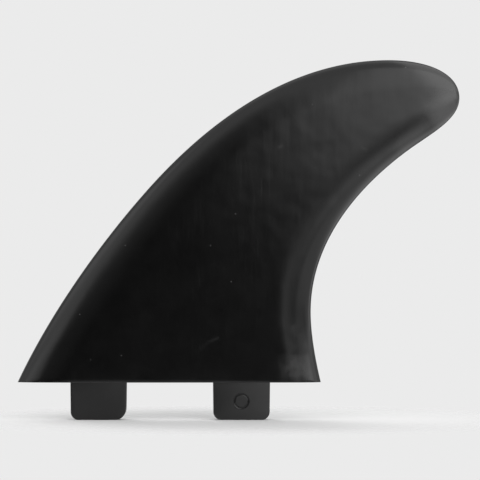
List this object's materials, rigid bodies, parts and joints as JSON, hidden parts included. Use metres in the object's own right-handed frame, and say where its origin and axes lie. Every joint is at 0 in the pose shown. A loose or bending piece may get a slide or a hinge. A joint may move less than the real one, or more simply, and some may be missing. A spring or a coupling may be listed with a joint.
{
  "type": "surfboard fin",
  "caption": "Moulded black plastic surfboard fin: a swept-back foiled blade on flat tabs that plug into the board's fin boxes.",
  "frame": {"origin": "on the board's surface, in the blade's middle plane, midway between the two tabs", "axes": "+Z out of the board towards the tip, +X from the leading edge to the trailing edge, +Y square to the blade"},
  "size_m": [0.1622, 0.0072, 0.1319],
  "materials": {
    "moulded_plastic": "semi-gloss, scuffed"
  },
  "bodies": {
    "root": {"fin": "moulded_plastic"}
  },
  "joints": []
}
